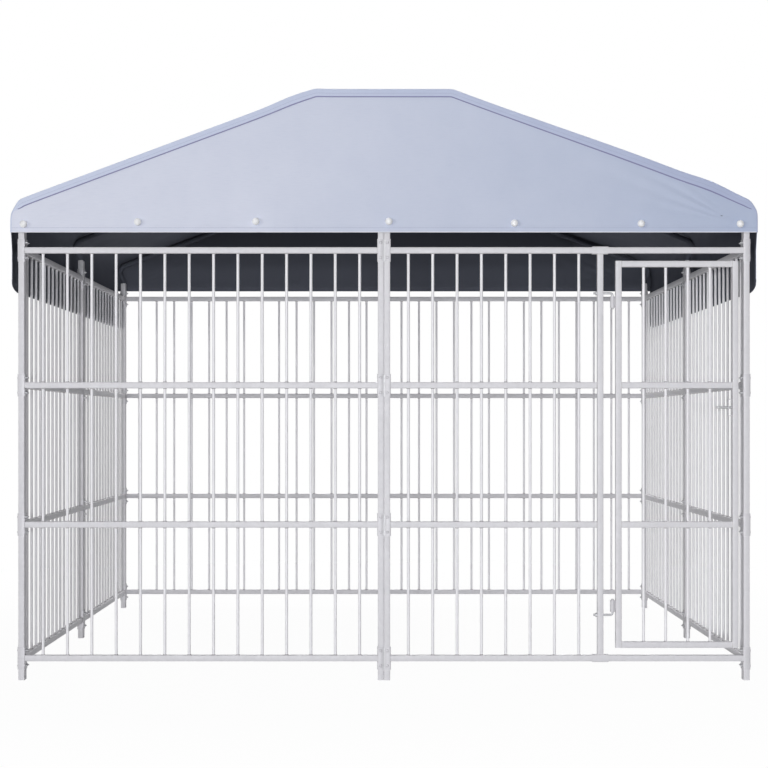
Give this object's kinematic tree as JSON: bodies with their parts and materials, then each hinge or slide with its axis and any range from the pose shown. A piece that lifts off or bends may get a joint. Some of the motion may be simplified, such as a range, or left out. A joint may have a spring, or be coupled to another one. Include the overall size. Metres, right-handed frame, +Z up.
{
  "type": "outdoor dog kennel",
  "caption": "Walk-in outdoor dog kennel of barred galvanised steel panels clamped at their posts, with a hinged bar gate, slide bolt and tented fabric canopy on tube arches.",
  "frame": {"origin": "on the ground, in the middle of the plan", "axes": "+Z up, +Y to the back, +X to the right as seen from the gate side, which faces -Y"},
  "size_m": [3.0604, 3.0908, 2.4226],
  "materials": {
    "galvanised_tube": "bright galvanised, satin",
    "zinc_plated_fitting": "zinc plated, satin",
    "canopy_cloth": "coated cloth, pale blue outside and dark inside"
  },
  "bodies": {
    "root": {"panel_front_left": "galvanised_tube", "panel_back_left": "galvanised_tube", "panel_back_right": "galvanised_tube", "panel_left_front": "galvanised_tube", "panel_left_back": "galvanised_tube", "panel_right_front": "galvanised_tube", "panel_right_back": "galvanised_tube", "door_panel_frame": "galvanised_tube", "door_panel_bars": "galvanised_tube", "door_jamb": "galvanised_tube", "roof_arch_front": "galvanised_tube", "roof_arch_middle": "galvanised_tube", "roof_arch_rear": "galvanised_tube", "ridge_tube_front": "galvanised_tube", "ridge_tube_rear": "galvanised_tube", "hinge_pin_lower": "zinc_plated_fitting", "hinge_pin_upper": "zinc_plated_fitting", "hinge_nut_lower": "zinc_plated_fitting", "hinge_nut_upper": "zinc_plated_fitting", "ridge_connector_front": "zinc_plated_fitting", "ridge_connector_middle": "zinc_plated_fitting", "ridge_connector_rear": "zinc_plated_fitting", "clamp_front_left_bottom": "zinc_plated_fitting", "clamp_front_left_lower": "zinc_plated_fitting", "clamp_front_left_upper": "zinc_plated_fitting", "clamp_front_left_top": "zinc_plated_fitting", "clamp_front_middle_bottom": "zinc_plated_fitting", "clamp_front_middle_lower": "zinc_plated_fitting", "clamp_front_middle_upper": "zinc_plated_fitting", "clamp_front_middle_top": "zinc_plated_fitting", "clamp_front_right_bottom": "zinc_plated_fitting", "clamp_front_right_lower": "zinc_plated_fitting", "clamp_front_right_upper": "zinc_plated_fitting", "clamp_front_right_top": "zinc_plated_fitting", "clamp_left_middle_bottom": "zinc_plated_fitting", "clamp_left_middle_lower": "zinc_plated_fitting", "clamp_left_middle_upper": "zinc_plated_fitting", "clamp_left_middle_top": "zinc_plated_fitting", "clamp_right_middle_bottom": "zinc_plated_fitting", "clamp_right_middle_lower": "zinc_plated_fitting", "clamp_right_middle_upper": "zinc_plated_fitting", "clamp_right_middle_top": "zinc_plated_fitting", "clamp_back_left_bottom": "zinc_plated_fitting", "clamp_back_left_lower": "zinc_plated_fitting", "clamp_back_left_upper": "zinc_plated_fitting", "clamp_back_left_top": "zinc_plated_fitting", "clamp_back_middle_bottom": "zinc_plated_fitting", "clamp_back_middle_lower": "zinc_plated_fitting", "clamp_back_middle_upper": "zinc_plated_fitting", "clamp_back_middle_top": "zinc_plated_fitting", "clamp_back_right_bottom": "zinc_plated_fitting", "clamp_back_right_lower": "zinc_plated_fitting", "clamp_back_right_upper": "zinc_plated_fitting", "clamp_back_right_top": "zinc_plated_fitting", "canopy_roof": "canopy_cloth", "canopy_gable_front": "canopy_cloth", "canopy_gable_rear": "canopy_cloth"},
    "gate": {"door_leaf": "galvanised_tube", "latch_bracket": "zinc_plated_fitting"},
    "latch": {"latch_bolt": "zinc_plated_fitting"}
  },
  "joints": [
    {"name": "gate_hinge", "type": "hinge", "parent": "root", "child": "gate", "pos_m": [0.93815, -1.51295, 0.927], "axis": [0, 0, -1], "range_deg": [0, 105]},
    {"name": "latch_slide", "type": "slide", "parent": "gate", "child": "latch", "axis": [1, 0, 0], "range_m": [0, 0.0334]}
  ]
}
